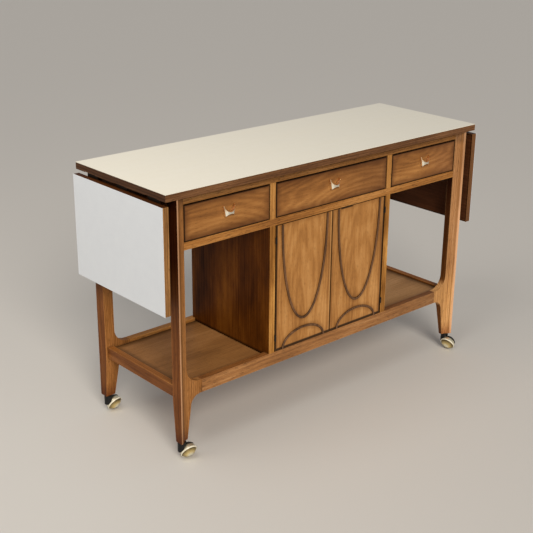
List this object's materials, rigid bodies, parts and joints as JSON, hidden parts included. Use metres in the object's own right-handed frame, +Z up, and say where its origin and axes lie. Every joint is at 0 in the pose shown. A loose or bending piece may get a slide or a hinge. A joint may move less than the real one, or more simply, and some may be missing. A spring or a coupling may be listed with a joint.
{
  "type": "bar cart",
  "caption": "Drop-leaf bar cart with a laminate top, a hanging leaf at each end, drawers over a two-door cabinet, open bays, sculpted legs and ball casters.",
  "frame": {"origin": "on the floor, under the middle of the base frame", "axes": "+X along the length towards the right end, -Y towards the front with the doors, +Z up"},
  "size_m": [1.24, 0.4352, 0.774],
  "materials": {
    "walnut": "satin lacquer",
    "veneered_board": "satin",
    "plain_wood": "plain",
    "white_laminate": "satin",
    "steel": "plated",
    "brass": "polished",
    "black_metal": "gloss black"
  },
  "bodies": {
    "cart": {"back_left_leg": "walnut", "back_right_leg": "walnut", "back_shelf_rail": "walnut", "cabinet_back": "walnut", "cabinet_sides": "walnut", "case_back": "walnut", "case_bottom": "plain_wood", "case_end_panels": "walnut", "case_front_rails": "walnut", "caster_sockets": "steel", "door_catches": "steel", "door_hinges_case_half": "brass", "drawer_dividers": "walnut", "drawer_runners": "plain_wood", "front_left_leg": "walnut", "front_right_leg": "walnut", "front_shelf_rail": "walnut", "leaf_hardware_on_case": "steel", "shelf_end_rails": "walnut", "shelf_panel": "walnut", "top_core": "veneered_board", "top_laminate": "white_laminate", "top_lippings": "walnut"},
    "left_leaf": {"left_leaf_board": "veneered_board", "left_leaf_laminate": "white_laminate", "left_leaf_lippings": "walnut", "left_leaf_hardware": "steel"},
    "left_lower_stays": {"left_stay_lower_arms": "steel"},
    "left_upper_stays": {"left_stay_upper_arms": "steel"},
    "left_door": {"left_door": "walnut", "left_door_hinge_halves": "brass"},
    "right_leaf": {"right_leaf_board": "veneered_board", "right_leaf_laminate": "white_laminate", "right_leaf_lippings": "walnut", "right_leaf_hardware": "steel"},
    "right_lower_stays": {"right_stay_lower_arms": "steel"},
    "right_upper_stays": {"right_stay_upper_arms": "steel"},
    "right_door": {"right_door": "walnut", "right_door_hinge_halves": "brass"},
    "left_drawer": {"left_drawer_front": "walnut", "left_drawer_box": "plain_wood", "left_drawer_pull": "brass"},
    "middle_drawer": {"middle_drawer_front": "walnut", "middle_drawer_box": "plain_wood", "middle_drawer_pull": "brass"},
    "right_drawer": {"right_drawer_front": "walnut", "right_drawer_box": "plain_wood", "right_drawer_pull": "brass"},
    "front_left_swivel": {"front_left_caster_stem": "black_metal", "front_left_caster_hood": "brass"},
    "front_left_wheel": {"front_left_caster_wheel": "brass"},
    "front_right_swivel": {"front_right_caster_stem": "black_metal", "front_right_caster_hood": "brass"},
    "front_right_wheel": {"front_right_caster_wheel": "brass"},
    "back_left_swivel": {"back_left_caster_stem": "black_metal", "back_left_caster_hood": "brass"},
    "back_left_wheel": {"back_left_caster_wheel": "brass"},
    "back_right_swivel": {"back_right_caster_stem": "black_metal", "back_right_caster_hood": "brass"},
    "back_right_wheel": {"back_right_caster_wheel": "brass"}
  },
  "joints": [
    {"name": "left_leaf_hinge", "type": "hinge", "parent": "cart", "child": "left_leaf", "pos_m": [-0.599, 0, 0.753], "axis": [0, 1, 0], "range_deg": [0, 90]},
    {"name": "left_lower_stay_pivot", "type": "hinge", "parent": "cart", "child": "left_lower_stays", "pos_m": [-0.591, 0, 0.663], "axis": [0, 1, 0], "range_deg": [0, 123.1]},
    {"name": "left_upper_stay_pivot", "type": "hinge", "parent": "left_leaf", "child": "left_upper_stays", "pos_m": [-0.591, 0, 0.635], "axis": [0, 1, 0], "range_deg": [-147, 0]},
    {"name": "right_leaf_hinge", "type": "hinge", "parent": "cart", "child": "right_leaf", "pos_m": [0.599, 0, 0.753], "axis": [0, -1, 0], "range_deg": [0, 90]},
    {"name": "right_lower_stay_pivot", "type": "hinge", "parent": "cart", "child": "right_lower_stays", "pos_m": [0.591, 0, 0.663], "axis": [0, -1, 0], "range_deg": [0, 123.1]},
    {"name": "right_upper_stay_pivot", "type": "hinge", "parent": "right_leaf", "child": "right_upper_stays", "pos_m": [0.591, 0, 0.635], "axis": [0, -1, 0], "range_deg": [-147, 0]},
    {"name": "left_drawer_slide", "type": "slide", "parent": "cart", "child": "left_drawer", "axis": [0, -1, 0], "range_m": [0, 0.27]},
    {"name": "middle_drawer_slide", "type": "slide", "parent": "cart", "child": "middle_drawer", "axis": [0, -1, 0], "range_m": [0, 0.27]},
    {"name": "right_drawer_slide", "type": "slide", "parent": "cart", "child": "right_drawer", "axis": [0, -1, 0], "range_m": [0, 0.27]},
    {"name": "left_door_hinge", "type": "hinge", "parent": "cart", "child": "left_door", "pos_m": [-0.22175, -0.1843, 0.414], "axis": [0, 0, -1], "range_deg": [0, 105]},
    {"name": "right_door_hinge", "type": "hinge", "parent": "cart", "child": "right_door", "pos_m": [0.22175, -0.1843, 0.414], "axis": [0, 0, 1], "range_deg": [0, 105]},
    {"name": "front_left_swivel_turn", "type": "hinge", "parent": "cart", "child": "front_left_swivel", "pos_m": [-0.56, -0.1811, 0.055], "axis": [0, 0, 1], "continuous": true},
    {"name": "front_left_wheel_spin", "type": "hinge", "parent": "front_left_swivel", "child": "front_left_wheel", "pos_m": [-0.54338, -0.19039, 0.02159], "axis": [-0.0886, -0.8434, -0.5299], "continuous": true},
    {"name": "front_right_swivel_turn", "type": "hinge", "parent": "cart", "child": "front_right_swivel", "pos_m": [0.56, -0.1811, 0.055], "axis": [0, 0, 1], "continuous": true},
    {"name": "front_right_wheel_spin", "type": "hinge", "parent": "front_right_swivel", "child": "front_right_wheel", "pos_m": [0.55598, -0.19971, 0.02159], "axis": [-0.8325, -0.1618, -0.5299], "continuous": true},
    {"name": "back_left_swivel_turn", "type": "hinge", "parent": "cart", "child": "back_left_swivel", "pos_m": [-0.56, 0.1811, 0.055], "axis": [0, 0, 1], "continuous": true},
    {"name": "back_left_wheel_spin", "type": "hinge", "parent": "back_left_swivel", "child": "back_left_wheel", "pos_m": [-0.5415, 0.17659, 0.02159], "axis": [0.14, -0.8364, -0.5299], "continuous": true},
    {"name": "back_right_swivel_turn", "type": "hinge", "parent": "cart", "child": "back_right_swivel", "pos_m": [0.56, 0.1811, 0.055], "axis": [0, 0, 1], "continuous": true},
    {"name": "back_right_wheel_spin", "type": "hinge", "parent": "back_right_swivel", "child": "back_right_wheel", "pos_m": [0.57864, 0.18499, 0.02159], "axis": [0.4864, -0.6947, -0.5299], "continuous": true}
  ],
  "couplings": [
    {"joint": "left_lower_stay_pivot", "follows": "left_leaf_hinge", "ratio": 1.3673},
    {"joint": "left_upper_stay_pivot", "follows": "left_leaf_hinge", "ratio": -1.6327},
    {"joint": "right_lower_stay_pivot", "follows": "right_leaf_hinge", "ratio": 1.3673},
    {"joint": "right_upper_stay_pivot", "follows": "right_leaf_hinge", "ratio": -1.6327}
  ]
}
